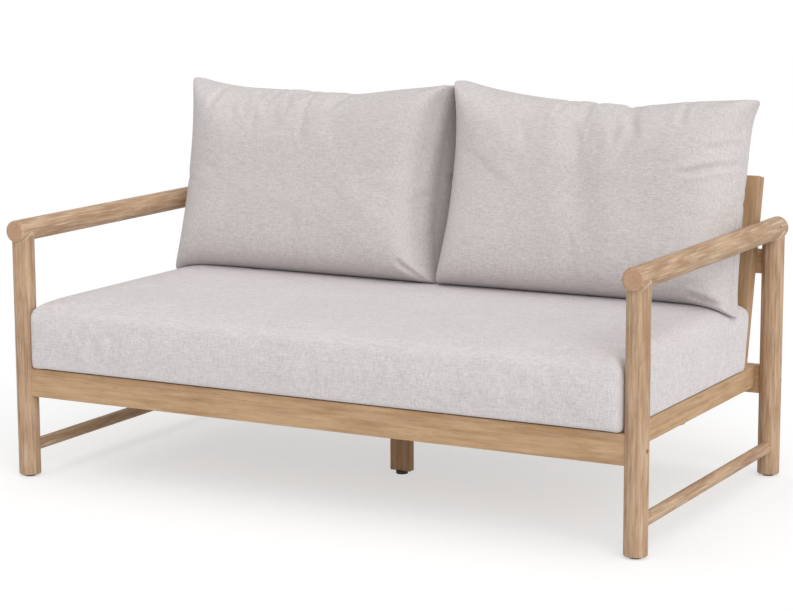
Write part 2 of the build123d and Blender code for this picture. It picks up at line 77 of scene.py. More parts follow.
# Back cushions, in the leaning plane of the back: across, up the posts and forward
pillow_half_width = 0.3605
pillow_half_height = 0.235
pillow_half_thickness = 0.118
pillow_middle_across = 0.3615
pillow_middle_up = 0.370
pillow_forward = 0.110
pillow_shoulder = 0.150
pillow_shoulder_run = 0.21
pillow_front_fullness = 1.25
pillow_inner_fullness = 1.9
pillow_hidden_fullness = 3.0
pillow_outer_draw = 0.014
pillow_top_draw = 0.028
pillow_bottom_draw = 0.002
pillow_top_dent = 0.009
pillow_dent_place_share = 0.28
pillow_dent_width_share = 0.2
pillow_tip_radius = 0.009
pillow_foot_reach = 0.011
pillow_corner_drape = 0.020
pillow_mesh_step = 0.0065
pillow_swell_reach = 0.006
pillow_smooth_foot = 0.20
pillow_undersize = 0.94
pillow_cloth_growth = 0.03
pillow_cloth_stiffness = 0.15
fold_end_share = 2
fold_ridge_share = 1.8
fold_fade_depth = 0.02
seam_radius = 0.0016
seam_sides = 6

# How close to an edge or a tip each change of the back cushions' form stays: higher is closer
shoulder_blend_power = 5
inner_draw_power = 2.2
rear_draw_power = 5
foot_draw_power = 2.4
tip_across_power = 12
tip_up_power = 8
outer_rise_power = 3
inner_rise_power = 5
corner_drape_power = 7

# Room that the back cushions keep from the back, the arms, each other and the seat
pillow_rail_gap = 0.0012
pillow_neighbour_gap = 0.0024
pillow_arm_side = 0.7235
arm_span_up = (0.23, 0.37)
pillow_widest = 0.742
pillow_rest_gap = 0.0008
seat_search_height = 0.06
search_start_height = 0.6

# Cloth that swells like a stuffed cover
cloth_pressure = 4.0
cloth_frames = 20
cloth_quality = 5
cloth_mass = 0.3
cloth_stretch_stiffness = 20
cloth_shear_stiffness = 8
wrinkle_rounds = 120

# Least values that keep a division sound
tiny_length = 1e-9
tiny_share = 1e-6


# Small helpers for shader trees


def shade(red, green, blue):
    """Linear colour from screen values between 0 and 255."""
    return tuple(((part / 255 + 0.055) / 1.055) ** 2.4 for part in (red, green, blue)) + (1.0,)


def wire(tree, socket, value):
    """Link a value that comes from another node, or set it on the socket."""
    if isinstance(value, bpy.types.NodeSocket):
        tree.links.new(value, socket)
    else:
        socket.default_value = value


def node(tree, kind, **settings):
    """New shader node with its settings."""
    made = tree.nodes.new("ShaderNode" + kind)
    for name, value in settings.items():
        setattr(made, name, value)
    return made


def maths(tree, operation, first, second=0.0, third=0.0):
    """Result of one arithmetic step."""
    made = node(tree, "Math", operation=operation)
    for socket, value in zip(made.inputs, (first, second, third)):
        wire(tree, socket, value)
    return made.outputs[0]


def summed(tree, start, *parts):
    """A start value plus each part times its weight."""
    total = start
    for part, weight in parts:
        total = maths(tree, "MULTIPLY_ADD", part, weight, total)
    return total


def split(tree, vector):
    """The three parts of a vector."""
    made = node(tree, "SeparateXYZ")
    wire(tree, made.inputs[0], vector)
    return made.outputs


def grey(tree, value):
    """Grey colour of one value."""
    made = node(tree, "CombineColor")
    for socket in made.inputs:
        wire(tree, socket, value)
    return made.outputs[0]


def mapped(tree, vector, scale=(1, 1, 1), rotation=(0, 0, 0), location=(0, 0, 0), kind="POINT"):
    """Vector turned, moved and stretched."""
    made = node(tree, "Mapping", vector_type=kind)
    wire(tree, made.inputs["Vector"], vector)
    made.inputs["Rotation"].default_value = rotation
    made.inputs["Scale"].default_value = scale
    if kind == "POINT":
        made.inputs["Location"].default_value = location
    return made.outputs[0]


def noise(tree, vector, scale, detail=2.0, roughness=0.5):
    """Noise between 0 and 1, with its spots to the metre along X, Y and Z as scale."""
    made = node(tree, "TexNoise")
    wire(tree, made.inputs["Vector"], mapped(tree, vector, scale))
    made.inputs["Scale"].default_value = 1.0
    made.inputs["Detail"].default_value = detail
    made.inputs["Roughness"].default_value = roughness
    return made.outputs["Fac"]


def centred_noise(tree, vector, scale, detail):
    """Noise between minus a half and a half."""
    return maths(tree, "SUBTRACT", noise(tree, vector, scale, detail), 0.5)


def between(tree, value, low, high, to_low=0.0, to_high=1.0):
    """Value eased from one range to another."""
    made = node(tree, "MapRange", interpolation_type="SMOOTHSTEP")
    wire(tree, made.inputs["Value"], value)
    ends = {"From Min": low, "From Max": high, "To Min": to_low, "To Max": to_high}
    for name, number in ends.items():
        made.inputs[name].default_value = number
    return made.outputs["Result"]


def mixed_colours(tree, amount, first, second, blend_type="MIX"):
    """Mixture of two colours, by its colour sockets."""
    made = node(tree, "Mix", data_type="RGBA", blend_type=blend_type)
    wire(tree, made.inputs["Factor"], amount)
    first_socket, second_socket = [socket for socket in made.inputs if socket.type == "RGBA"]
    wire(tree, first_socket, first)
    wire(tree, second_socket, second)
    return [socket for socket in made.outputs if socket.type == "RGBA"][0]


def bumped(tree, height, strength, distance):
    """Surface normal raised by a height."""
    made = node(tree, "Bump")
    made.inputs["Strength"].default_value = strength
    made.inputs["Distance"].default_value = distance
    wire(tree, made.inputs["Height"], height)
    return made.outputs["Normal"]


def seen_directly(tree):
    """1 for what the camera, gloss or glass shows, and 0 for what lights the object."""
    path = node(tree, "LightPath")
    seen = maths(tree, "MAXIMUM", path.outputs["Is Camera Ray"], path.outputs["Is Glossy Ray"])
    return maths(tree, "MAXIMUM", seen, path.outputs["Is Transmission Ray"])


def new_group(name, inputs, outputs):
    """Shader node group with named sockets. Gives the tree, its inputs and its outputs."""
    tree = bpy.data.node_groups.new(name, "ShaderNodeTree")
    for direction, sockets in (("INPUT", inputs), ("OUTPUT", outputs)):
        for label, kind in sockets:
            tree.interface.new_socket(name=label, in_out=direction, socket_type="NodeSocket" + kind)
    given = tree.nodes.new("NodeGroupInput").outputs
    return tree, given, tree.nodes.new("NodeGroupOutput").inputs


def place_group(tree, group, **values):
    """Use of a node group in a material."""
    made = tree.nodes.new("ShaderNodeGroup")
    made.node_tree = group
    for label, value in values.items():
        wire(tree, made.inputs[label.replace("_", " ")], value)
    return made.outputs


def new_material(name, roughness, **constants):
    """Material with its shader. Gives the material, its tree and the shader's inputs."""
    material = bpy.data.materials.new(name)
    material.use_nodes = True
    tree = material.node_tree
    shader = tree.nodes["Principled BSDF"]
    shader.inputs["Roughness"].default_value = roughness
    for label, value in constants.items():
        shader.inputs[label.replace("_", " ")].default_value = value
    return material, tree, shader.inputs


# Shared effects: each works on a place turned to suit its material

surface_outputs = [("Colour", "Color"), ("Roughness", "Float"), ("Height", "Float")]

# Spots to the metre of each part of the grain, twice across it and once along it
sway_spots = (16, 16, 1.7)
patch_spots = (34, 34, 9)
streak_spots = (120, 120, 8)
fibre_spots = (720, 720, 22)
filler_spots = (210, 210, 11)
pore_spots = (900, 900, 36)

# Spots to the metre along and across a thread, and in all directions for the cloth's slow changes
thread_spots = (90, 850)
slub_spots = (42, 340)
cloud_spots = (7, 7, 7)


def wood_grain_group():
    """Grain that runs along the Z of its place: tone, streaks, fibres, pores and pale filler."""
    tree, given, result = new_group(
        "wood_grain",
        [("Place", "Vector"), ("Facing", "Vector"), ("Pale Wood", "Color"),
         ("Brown Wood", "Color"), ("End Grain", "Color"), ("Filler", "Color"),
         ("Filler Amount", "Float"), ("Ring Width", "Float")],
        surface_outputs,
    )
    place = given["Place"]

    # Growth rings about the Z of the place, which sway along the grain
    first, second, _ = split(tree, place)
    sway = maths(tree, "MULTIPLY", centred_noise(tree, place, sway_spots, detail=3), 0.03)
    first = maths(tree, "ADD", first, sway)
    square = maths(tree, "ADD", maths(tree, "MULTIPLY", first, first),
                   maths(tree, "MULTIPLY", second, second))
    rings_out = maths(tree, "DIVIDE", maths(tree, "SQRT", square), given["Ring Width"])
    wave = maths(tree, "SINE", maths(tree, "MULTIPLY", rings_out, math.tau))
    rings = maths(tree, "MULTIPLY_ADD", wave, 0.5, 0.5)

    # Tone of the long grain
    patches = noise(tree, place, patch_spots, detail=4, roughness=0.6)
    streaks = noise(tree, place, streak_spots, detail=4, roughness=0.55)
    fibres = noise(tree, place, fibre_spots)
    tone = summed(tree, maths(tree, "MULTIPLY", streaks, 0.85),
                  (rings, 0.10), (patches, 0.75), (fibres, 0.25))
    paleness = between(tree, tone, low=0.62, high=1.28)
    colour = mixed_colours(tree, paleness, given["Brown Wood"], given["Pale Wood"])

    # Pale filler left in the brushed grain, and dark pores
    filler_noise = noise(tree, place, filler_spots, detail=3, roughness=0.55)
    filler_mask = maths(tree, "MULTIPLY", between(tree, filler_noise, low=0.46, high=0.74),
                        given["Filler Amount"])
    colour = mixed_colours(tree, filler_mask, colour, given["Filler"])
    pores = between(tree, noise(tree, place, pore_spots, detail=1), low=0.62, high=0.72)
    pore_shade = summed(tree, 1.0, (pores, -0.20))
    colour = mixed_colours(tree, 1.0, colour, grey(tree, pore_shade), "MULTIPLY")

    # End grain where the surface faces along the grain
    facing = split(tree, given["Facing"])
    end_mask = between(tree, maths(tree, "ABSOLUTE", facing[2]), low=0.80, high=0.93)
    end_tone = summed(tree, 0.75, (streaks, 0.40), (rings, 0.06))
    end_colour = mixed_colours(tree, 1.0, given["End Grain"], grey(tree, end_tone), "MULTIPLY")
    colour = mixed_colours(tree, end_mask, colour, end_colour)

    wire(tree, result["Colour"], colour)
    wire(tree, result["Roughness"], summed(tree, 0.50, (streaks, 0.22)))
    wire(tree, result["Height"], summed(tree, maths(tree, "MULTIPLY", streaks, 0.5),
                                        (fibres, 0.6), (pores, -0.6)))
    return tree


def linen_group():
    """Linen-look weave over any face: crossed threads, slubs and slow changes of tone."""
    tree, given, result = new_group(
        "linen_weave",
        [("Place", "Vector"), ("Facing", "Vector"), ("Pale Thread", "Color"),
         ("Deep Thread", "Color")],
        surface_outputs,
    )
    place = given["Place"]
    facing = split(tree, given["Facing"])
    threads = 0.0
    slubs = 0.0
    for axis in range(3):
        turned_away = maths(tree, "ABSOLUTE", facing[axis])
        shown = between(tree, turned_away, low=0.35, high=0.9, to_low=1.0, to_high=0.0)
        fine, coarse = [[along if other == axis else across for other in range(3)]
                        for along, across in (thread_spots, slub_spots)]
        threads = summed(tree, threads, (centred_noise(tree, place, fine, detail=1.5), shown))
        slubs = summed(tree, slubs, (centred_noise(tree, place, coarse, detail=2), shown))
    cloud = centred_noise(tree, place, cloud_spots, detail=1)
    tone = summed(tree, 0.5, (threads, 0.95), (slubs, 0.70), (cloud, 0.18))
    paleness = between(tree, tone, low=0.0, high=1.0)
    colour = mixed_colours(tree, paleness, given["Deep Thread"], given["Pale Thread"])
    wire(tree, result["Colour"], colour)
    wire(tree, result["Roughness"], summed(tree, 0.88, (threads, 0.15)))
    wire(tree, result["Height"], summed(tree, threads, (slubs, 0.6)))
    return tree


wood_grain = wood_grain_group()
linen_weave = linen_group()


# Finishes

turn_to_grain = {
    "x": (0, math.radians(90), 0),
    "y": (math.radians(90), 0, 0),
    "z": (0, 0, 0),
    "back": (recline, 0, 0),
}
end_grain = shade(188, 151, 123)
grain_filler = shade(214, 194, 168)
joint_filler = shade(222, 208, 186)
knot_brown = shade(70, 50, 38)
joint_line_start = 0.0018
joint_line_end = 0.0042
joint_line_waver = 0.003
joint_waver_spots = (160, 160, 160)
knot_core_radius = 0.0022
knot_radius = 0.0048
turning_mark_spots = (400, 1400, 1400)
spark_spots = (1500, 1500, 1500)


def filled_joint(tree, place, colour):
    """Colour with the pale filler line where a leg's coped top meets the arm."""
    across, _, up = split(tree, place)
    aside = maths(tree, "SUBTRACT", maths(tree, "ABSOLUTE", across), leg_x)
    below = maths(tree, "SUBTRACT", up, arm_height)
    square = maths(tree, "MULTIPLY_ADD", aside, aside, maths(tree, "MULTIPLY", below, below))
    waver = maths(tree, "MULTIPLY", noise(tree, place, joint_waver_spots), joint_line_waver)
    distance = maths(tree, "ADD", maths(tree, "SQRT", square), waver)
    line = between(tree, distance, pole_radius + joint_line_start, pole_radius + joint_line_end,
                   to_low=0.6, to_high=0.0)
    return mixed_colours(tree, line, colour, joint_filler)


def small_knot(tree, place, colour):
    """Colour with the small dark knot of the right arm."""
    away = node(tree, "VectorMath", operation="DISTANCE")
    wire(tree, away.inputs[0], place)
    away.inputs[1].default_value = arm_knot
    spot = between(tree, away.outputs["Value"], knot_core_radius, knot_radius,
                   to_low=0.85, to_high=0.0)
    return mixed_colours(tree, spot, colour, knot_brown)


def wood_finish(name, grain, pale, brown, filler_amount, ring_width, heart=(0, 0, 0), detail=None):
    """Brushed, pale-oiled wood with its grain along one direction.

    heart is a point on the tree's middle line, and detail draws one more mark on the colour.
    """
    material, tree, shader = new_material(name, 0.6, Specular_IOR_Level=0.3)
    where = node(tree, "TexCoord")
    turn = turn_to_grain[grain]
    centred = mapped(tree, where.outputs["Object"], location=tuple(-part for part in heart))
    made = place_group(
        tree, wood_grain,
        Place=mapped(tree, centred, rotation=turn),
        Facing=mapped(tree, where.outputs["Normal"], rotation=turn, kind="VECTOR"),
        Pale_Wood=pale, Brown_Wood=brown, End_Grain=end_grain, Filler=grain_filler,
        Filler_Amount=filler_amount, Ring_Width=ring_width,
    )
    colour = made["Colour"]
    if detail:
        colour = detail(tree, where.outputs["Object"], colour)
    wire(tree, shader["Base Color"], colour)
    wire(tree, shader["Roughness"], made["Roughness"])
    wire(tree, shader["Normal"], bumped(tree, made["Height"], strength=0.35, distance=0.0008))
    return material


def linen_finish(name, turn, pale, deep):
    """Light greige woven cloth with a linen look."""
    material, tree, shader = new_material(
        name, 0.9, Specular_IOR_Level=0.15, Sheen_Weight=0.12, Sheen_Roughness=0.5)
    where = node(tree, "TexCoord")
    made = place_group(
        tree, linen_weave,
        Place=mapped(tree, where.outputs["Object"], rotation=turn),
        Facing=mapped(tree, where.outputs["Normal"], rotation=turn, kind="VECTOR"),
        Pale_Thread=pale, Deep_Thread=deep,
    )
    wire(tree, shader["Base Color"], made["Colour"])
    wire(tree, shader["Roughness"], made["Roughness"])
    wire(tree, shader["Normal"], bumped(tree, made["Height"], strength=0.35, distance=0.0007))
    return material


def metal_finish(name):
    """Stainless steel with fine turning marks."""
    material, tree, shader = new_material(name, 0.35, Metallic=1.0)
    marks = noise(tree, node(tree, "TexCoord").outputs["Object"], turning_mark_spots)
    colour = mixed_colours(tree, marks, shade(150, 150, 152), shade(196, 196, 198))
    wire(tree, shader["Base Color"], colour)
    wire(tree, shader["Roughness"], summed(tree, 0.25, (marks, 0.25)))
    wire(tree, shader["Normal"], bumped(tree, marks, strength=0.15, distance=0.0002))
    return material


def plastic_finish(name):
    """Black moulded nylon with a fine spark texture."""
    material, tree, shader = new_material(name, 0.5)
    sparks = noise(tree, node(tree, "TexCoord").outputs["Object"], spark_spots)
    colour = mixed_colours(tree, sparks, shade(24, 24, 25), shade(44, 43, 42))
    wire(tree, shader["Base Color"], colour)
    wire(tree, shader["Roughness"], summed(tree, 0.45, (sparks, 0.2)))
    wire(tree, shader["Normal"], bumped(tree, sparks, strength=0.2, distance=0.0002))
    return material


poles = {"pale": shade(197, 165, 134), "brown": shade(152, 118, 90), "ring_width": 0.009}
boards = {"pale": shade(200, 165, 128), "brown": shade(168, 132, 96),
          "filler_amount": 0.25, "ring_width": 0.011}
# The back's posts and slats take darker copies of the board colours, as painted shade from the back
# cushions
posts = {**boards, "pale": shade(190, 156, 121), "brown": shade(158, 124, 91)}
beech = {"pale": shade(222, 190, 150), "brown": shade(196, 160, 118),
         "filler_amount": 0.0, "ring_width": 0.02}
# One linen covers every cushion. The seat's copy is painted paler and cooler as painted light from
# above, and the back cushions' copy darker as painted shade
lit_seat_threads = {"pale": shade(227, 222, 223), "deep": shade(199, 192, 192)}
shaded_back_threads = {"pale": shade(220, 214, 213), "deep": shade(191, 184, 182)}

finishes = {
    "leg": wood_finish("limed_leg_wood", "z", filler_amount=0.55, detail=filled_joint, **poles),
    "arm": wood_finish("limed_arm_wood", "y", filler_amount=0.75, heart=(leg_x, 0, arm_height),
                       detail=small_knot, **poles),
    "cross": wood_finish("oiled_cross_rail_wood", "x", heart=(0, 0.1, 0.15), **boards),
    "side": wood_finish("oiled_side_rail_wood", "y", heart=(0.6, 0, 0.1), **boards),
    "back": wood_finish("oiled_back_wood_painted_shade", "back", heart=(0.3, 0.2, 0), **posts),
    "upright": wood_finish("oiled_centre_leg_wood", "z", heart=(0.05, 0.1, 0), **boards),
    "dowel": wood_finish("plain_beech", "z", **beech),
    "steel": metal_finish("stainless_steel"),
    "glide": plastic_finish("black_nylon"),
}

# The first word that a node's name holds decides its finish
finish_of_word = {
    "leg_glide": "glide", "dowels": "dowel", "bolts": "steel", "nuts": "steel",
    "screws": "steel", "centre_leg": "upright", "_leg": "leg", "arm_rail": "arm",
    "stretcher": "arm", "seat_slat": "side", "side_rail": "side", "back_post": "back",
    "back_slat": "back", "rail": "cross", "bearer": "cross", "ledger": "cross",
}

for name, piece in nodes.items():
    matches = [finish for word, finish in finish_of_word.items() if word in name]
    if matches:
        piece.data.materials.clear()
        piece.data.materials.append(finishes[matches[0]])


# Shared steps of the cushions


def mesh_piece(name, points, faces, material):
    """New object from points and faces, shaded smooth."""
    mesh = bpy.data.meshes.new(name)
    mesh.from_pydata([tuple(point) for point in points], [], faces)
    mesh.update()
    mesh.shade_smooth()
    mesh.materials.append(material)
    piece = bpy.data.objects.new(name, mesh)
    bpy.context.scene.collection.objects.link(piece)
    return piece


def swell(piece, growth, stiffness):
    """Fill a closed piece like stuffed cloth, and give where its points went."""
    cloth = piece.modifiers.new("stuffing", "CLOTH")
    settings = cloth.settings
    settings.quality = cloth_quality
    settings.mass = cloth_mass
    settings.tension_stiffness = cloth_stretch_stiffness
    settings.compression_stiffness = cloth_stretch_stiffness
    settings.shear_stiffness = cloth_shear_stiffness
    settings.bending_stiffness = stiffness
    settings.use_pressure = True
    settings.uniform_pressure_force = cloth_pressure
    settings.shrink_min = -growth
    settings.shrink_max = -growth
    settings.effector_weights.gravity = 0
    cloth.collision_settings.use_collision = False
    scene = bpy.context.scene
    for number in range(1, cloth_frames + 1):
        scene.frame_set(number)
    seen = piece.evaluated_get(bpy.context.evaluated_depsgraph_get())
    found = np.empty(len(seen.data.vertices) * 3)
    seen.data.vertices.foreach_get("co", found)
    piece.modifiers.remove(cloth)
    scene.frame_set(1)
    return found.reshape(-1, 3)


def evened(piece, values, rounds):
    """Values on a mesh's points, evened out with their neighbours."""
    edges = np.empty(len(piece.data.edges) * 2, int)
    piece.data.edges.foreach_get("vertices", edges)
    first, second = edges.reshape(-1, 2).T
    count = len(values)
    neighbours = np.bincount(first, minlength=count) + np.bincount(second, minlength=count)
    for _ in range(rounds):
        columns = []
        for column in values.T:
            total = (np.bincount(first, column[second], count)
                     + np.bincount(second, column[first], count))
            columns.append((column + total / neighbours) / 2)
        values = np.stack(columns, axis=1)
    return values


def wrinkles_of(piece, shift, reach):
    """The folds in a piece's movement, without its change of size, and no longer than reach."""
    folds = shift - evened(piece, shift, wrinkle_rounds)
    length = np.linalg.norm(folds, axis=1, keepdims=True)
    return folds * reach * np.tanh(length / reach) / np.maximum(length, tiny_length)


def add_subdivision(piece):
    """One level of smooth subdivision."""
    fine = piece.modifiers.new("fine_surface", "SUBSURF")
    fine.levels = 1
    fine.render_levels = 1


def post_front(height):
    """Where the posts' front faces stand at a height."""
    return post_foot_y + (height - seat_height) * lean


# Seat cushion


def box_shell(steps):
    """Points from 0 to 1 on the six sides of a box, and the faces between them."""
    index = {}
    points = []

    def point(key):
        if key not in index:
            index[key] = len(points)
            points.append([part / count for part, count in zip(key, steps)])
        return index[key]

    faces = []
    for axis in range(3):
        first, second = (axis + 1) % 3, (axis + 2) % 3
        for level in (0, steps[axis]):
            for i in range(steps[first]):
                for j in range(steps[second]):
                    corners = []
                    for di, dj in ((0, 0), (1, 0), (1, 1), (0, 1)):
                        key = [0, 0, 0]
                        key[axis] = level
                        key[first] = i + di
                        key[second] = j + dj
                        corners.append(point(tuple(key)))
                    faces.append(corners if level else corners[::-1])
    return np.array(points), faces


def rounded_edge(inset, depth, radius):
    """Inset and depth from a sharp edge, moved onto a round one where both are under its radius."""
    inner_inset = np.maximum(inset, radius)
    inner_depth = np.maximum(depth, radius)
    aside = inset - inner_inset
    below = depth - inner_depth
    length = np.maximum(np.hypot(aside, below), tiny_length)
    at_edge = (inset < radius) | (depth < radius)
    new_inset = np.where(at_edge, inner_inset + radius * aside / length, inset)
    new_depth = np.where(at_edge, inner_depth + radius * below / length, depth)
    return new_inset, new_depth


def rounded_corners(flat, half, inset, new_inset):
    """Plan of the seat cushion's points at their new inset, with its four corners rounded."""
    outline_half = half - new_inset[:, None]
    square = flat / np.maximum(half - inset[:, None], tiny_share) * outline_half
    corner = np.maximum(seat_corner_radius - new_inset, seat_least_corner_radius)[:, None]
    inner = np.clip(square, -(outline_half - corner), outline_half - corner)
    away = square - inner
    length = np.linalg.norm(away, axis=1, keepdims=True)
    on_corner = (np.abs(away) > tiny_length).all(axis=1, keepdims=True)
    rounded = inner + corner * away / np.maximum(length, tiny_length)
    return np.where(on_corner, rounded, square)


def seat_form(shares):
    """Seat cushion's points from their shares of its box: round edges, leaning rear and crown."""
    half_depth = (post_front(seat_height) - seat_front_y) / 2
    half = np.array([seat_half_width, half_depth])
    flat = (shares[:, :2] * 2 - 1) * half
    height = shares[:, 2] * seat_edge_height
    inset = np.min(half - np.abs(flat), axis=1)
    upper = height > seat_edge_height / 2
    top_inset, top_depth = rounded_edge(inset, seat_edge_height - height, seat_top_edge_radius)
    low_inset, low_depth = rounded_edge(inset, height, seat_lower_edge_radius)
    plan = rounded_corners(flat, half, inset, np.where(upper, top_inset, low_inset))

    run = np.array([seat_crown_run_across, seat_crown_run_deep])
    rise = np.sin(np.clip((half - np.abs(plan)) / run, 0, 1) * math.pi / 2)
    z = np.where(upper, seat_edge_height - top_depth, low_depth)
    z = z + seat_crown * rise.min(axis=1) * np.clip(z / seat_edge_height, 0, 1) ** 2

    height_share = np.clip(z / seat_edge_height, 0, 1)
    bulge = seat_front_bulge * np.sin(height_share * math.pi) ** seat_bulge_roundness
    across_share = np.abs(plan[:, 0] / seat_half_width)
    front = seat_front_y - bulge * (1 - across_share ** seat_bulge_flatness)
    rear = post_front(seat_height + np.minimum(z, seat_edge_height)) - seat_rest_gap
    depth_share = plan[:, 1] / half_depth / 2 + 0.5
    y = front + depth_share * (rear - front)
    return np.stack([plan[:, 0], y, z + seat_height + seat_rest_gap], axis=1)


def kept_in_seat(points):
    """Seat cushion's points kept off the slats, the posts and the arms."""
    side = seat_half_width + seat_side_give
    points[:, 2] = np.maximum(points[:, 2], seat_height + seat_rest_gap)
    points[:, 0] = np.clip(points[:, 0], -side, side)
    points[:, 1] = np.minimum(points[:, 1], post_front(points[:, 2]) - seat_rest_gap)
    return points


def seat_cushion():
    """Seat cushion: a foam block in a linen cover."""
    spans = (2 * seat_half_width, post_front(seat_height) - seat_front_y, seat_edge_height)
    shares, faces = box_shell([round(span / seat_mesh_step) for span in spans])
    target = seat_form(shares)
    linen = linen_finish("seat_linen", (0, 0, 0), **lit_seat_threads)
    piece = mesh_piece("seat_cushion", target, faces, linen)
    middle = target.mean(axis=0)
    start = middle + (target - middle) * np.array([1, 1, seat_undersize])
    piece.data.vertices.foreach_set("co", start.ravel())
    piece.data.update()
    swollen = swell(piece, seat_cloth_growth, seat_cloth_stiffness)
    shift = wrinkles_of(piece, swollen - start, seat_swell_reach)
    piece.data.vertices.foreach_set("co", kept_in_seat(target + shift).ravel())
    piece.data.update()
    add_subdivision(piece)
    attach(piece, "seat_cushion")
    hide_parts("seat_cushion_cover", "seat_cushion_foam")
    return piece


# Back cushions

up_the_back = np.array([0, math.sin(recline), math.cos(recline)])
out_of_back = np.array([0, -math.cos(recline), math.sin(recline)])
foot_of_back = np.array([0, post_foot_y, seat_height])


def shoulder_line(half_length):
    """Places along one direction of a panel and how near each is to full thickness."""
    turn_count = round(pillow_shoulder_run / pillow_mesh_step)
    flat_count = round(2 * (half_length - pillow_shoulder) / pillow_mesh_step)
    turns = np.linspace(0, math.pi / 2, turn_count + 1)
    rise = -half_length + pillow_shoulder * (1 - np.cos(turns))
    flat = np.linspace(-half_length + pillow_shoulder, half_length - pillow_shoulder,
                       flat_count + 1)
    places = np.concatenate([rise, flat[1:-1], -rise[::-1]])
    fullness = np.concatenate([np.sin(turns), np.ones(flat_count - 1), np.sin(turns)[::-1]])
    return places, fullness


def blended_fullness(first, second):
    """Fullness of a panel from that along its two directions. It is 0 along the seam."""
    power = shoulder_blend_power
    full = (np.maximum(first, tiny_share) ** -power
            + np.maximum(second, tiny_share) ** -power) ** (-1 / power)
    full[(first < tiny_share) | (second < tiny_share)] = 0
    return full


def rounded_tips(x, y):
    """Points of a panel with its four tips rounded."""
    past_x = np.sign(x) * np.maximum(np.abs(x) - pillow_half_width + pillow_tip_radius, 0)
    past_y = np.sign(y) * np.maximum(np.abs(y) - pillow_half_height + pillow_tip_radius, 0)
    square = np.maximum(np.abs(past_x), np.abs(past_y))
    rounding = square / np.maximum(np.hypot(past_x, past_y), tiny_share) - 1
    at_tip = (past_x != 0) & (past_y != 0)
    return x + np.where(at_tip, past_x * rounding, 0), y + np.where(at_tip, past_y * rounding, 0)


def joined_panels(front, rear):
    """Points, faces and seam loop of two panels that share the points of their border.

    Each panel is a grid of x, one of y and one of z.
    """
    rows, columns = front[0].shape
    inside = np.zeros((rows, columns), bool)
    inside[1:-1, 1:-1] = True
    near = np.arange(rows * columns).reshape(rows, columns)
    far = near.copy()
    far[inside] = rows * columns + np.arange(inside.sum())
    points = np.concatenate([np.stack(front, axis=2).reshape(-1, 3),
                             np.stack(rear, axis=2)[inside]])
    faces = []
    for i in range(rows - 1):
        for j in range(columns - 1):
            faces.append([near[i, j], near[i + 1, j], near[i + 1, j + 1], near[i, j + 1]])
            faces.append([far[i, j], far[i, j + 1], far[i + 1, j + 1], far[i + 1, j]])
    faces = [[int(corner) for corner in face] for face in faces]
    loop = [*near[:, 0], *near[-1, 1:], *near[-2::-1, -1], *near[0, -2:0:-1]]
    return points, faces, [int(corner) for corner in loop]


def pillow_form(side, tip_reach, tip_rises, top_powers, inner_draw, inner_draw_up):
    """Back cushion about its own middle: points, faces and the loop of points along the seam.

    x runs across, y up and z forward. s and t are x and y as shares of the half width and height.
    outer and inner grow towards the arm and the middle, above and below towards top and foot.
    """
    across, across_full = shoulder_line(pillow_half_width)
    up, up_full = shoulder_line(pillow_half_height)
    x, y = np.meshgrid(across, up, indexing="ij")
    full = blended_fullness(*np.meshgrid(across_full, up_full, indexing="ij"))
    s = x / pillow_half_width
    t = y / pillow_half_height
    outer, inner = np.clip(s * side, 0, 1), np.clip(-s * side, 0, 1)
    above, below = np.clip(t, 0, 1), np.clip(-t, 0, 1)
    x, y = rounded_tips(x, y)

    # Sides drawn in between the tips, and tips and feet that reach out
    span = np.where(t > inner_draw_up, 1 - inner_draw_up, 1 + inner_draw_up)
    skewed = (t - inner_draw_up) / span
    drawn = (inner_draw * inner ** 2 * (1 - np.abs(skewed) ** inner_draw_power)
             - pillow_outer_draw * outer * (1 - t ** 2))
    reach = tip_reach * above ** tip_up_power + pillow_foot_reach * below ** tip_up_power
    plain_x = x + side * outer ** tip_across_power * reach

    # Top edge with its dent and sag, foot edge, outer corner that hangs, and tips that rise
    from_dent = (s - pillow_dent_place_share) / pillow_dent_width_share
    y = y - pillow_top_dent * above ** 2 * np.exp(-from_dent ** 2)
    y = y - pillow_top_draw * above * (1 - outer ** top_powers[0] - inner ** top_powers[1])
    y = y + pillow_bottom_draw * below * (1 - np.abs(s) ** foot_draw_power)
    y = y - pillow_corner_drape * below ** 2 * outer ** corner_drape_power
    y = y + above ** 2 * (tip_rises[0] * outer ** outer_rise_power
                          + tip_rises[1] * inner ** inner_rise_power)

    # The rear panel is boxier, and less drawn in, on the side of the other cushion
    front_power = pillow_front_fullness + (pillow_inner_fullness - pillow_front_fullness) * inner
    rear_power = 1 + (pillow_hidden_fullness - 1) * inner
    front_z = pillow_half_thickness * (1 - (1 - full) ** front_power)
    rear_z = -pillow_half_thickness * (1 - (1 - full) ** rear_power)
    rear_x = plain_x + drawn * side * (1 - full) ** rear_draw_power
    return joined_panels((plain_x + drawn * side, y, front_z), (rear_x, y, rear_z))


def folded(points, folds):
    """Back cushion's points with folds pressed into its front panel."""
    for start, end, width, depth, ridge in folds:
        start, end = np.array(start), np.array(end)
        along = end - start
        length = np.linalg.norm(along)
        along = along / length
        from_start = points[:, :2] - start
        run = from_start @ along
        aside = from_start @ np.array([-along[1], along[0]])
        past = np.maximum(0, np.maximum(-run, run - length))
        fade = (np.exp(-(past / (width * fold_end_share)) ** 2)
                * np.clip(points[:, 2] / fold_fade_depth, 0, 1))
        groove = -depth * np.exp(-(aside / width) ** 2)
        crest = ridge * np.exp(-((np.abs(aside) - width * fold_ridge_share) / width) ** 2)
        points[:, 2] += (groove + crest) * fade
    return points


def from_back_plane(points):
    """Points from the leaning plane of the back to the floor's frame."""
    across = points[:, :1] * np.array([[1.0, 0, 0]])
    return foot_of_back + across + points[:, 1:2] * up_the_back + points[:, 2:3] * out_of_back


